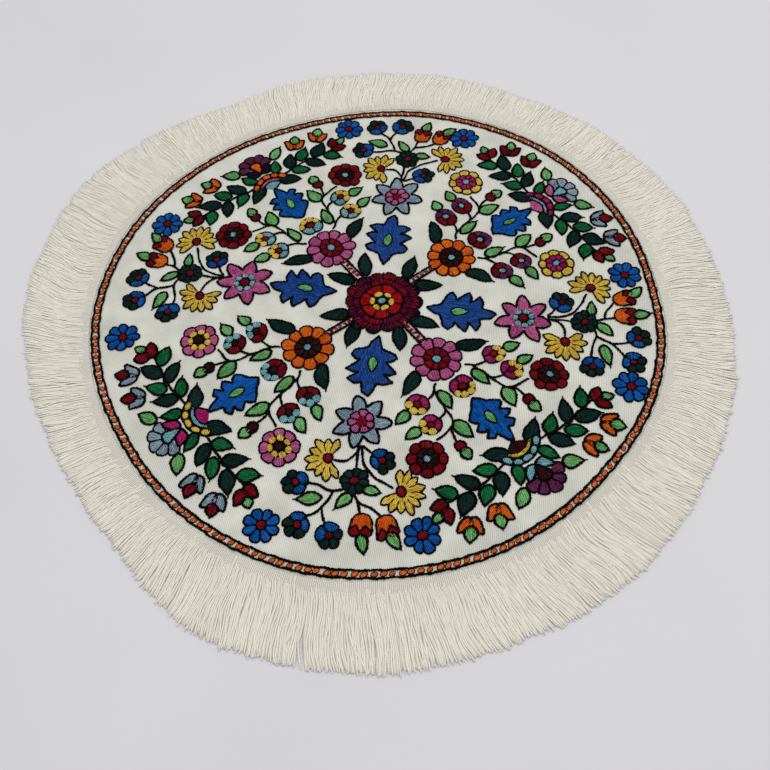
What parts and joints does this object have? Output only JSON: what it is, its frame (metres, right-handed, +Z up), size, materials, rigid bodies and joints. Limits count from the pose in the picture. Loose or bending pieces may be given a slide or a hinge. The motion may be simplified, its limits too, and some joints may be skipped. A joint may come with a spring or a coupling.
{
  "type": "round embroidered tablecloth",
  "caption": "Round cream tablecloth lying flat, with wool needlework flowers, a stitched border ring and a long sewn-on fringe.",
  "frame": {"origin": "on the surface that the cloth lies on, under the middle of the circle that the stitched border follows", "axes": "+Z up out of the embroidered face, +Y away from the viewer of the picture, +X to the viewer's right"},
  "size_m": [0.4992, 0.5023, 0.0034],
  "materials": {
    "cream_twill": "matt wool twill",
    "cream_fringe_yarn": "soft plied yarn",
    "black_wool": "crewel wool",
    "dark_green_wool": "crewel wool",
    "leaf_green_wool": "crewel wool",
    "light_green_wool": "crewel wool",
    "royal_blue_wool": "crewel wool",
    "mid_blue_wool": "crewel wool",
    "grey_blue_wool": "crewel wool",
    "pale_turquoise_wool": "crewel wool",
    "red_wool": "crewel wool",
    "maroon_wool": "crewel wool",
    "purple_wool": "crewel wool",
    "magenta_wool": "crewel wool",
    "pink_wool": "crewel wool",
    "orange_wool": "crewel wool",
    "mustard_wool": "crewel wool"
  },
  "bodies": {
    "root": {"cloth": "cream_twill", "fringe": "cream_fringe_yarn"}
  },
  "joints": []
}
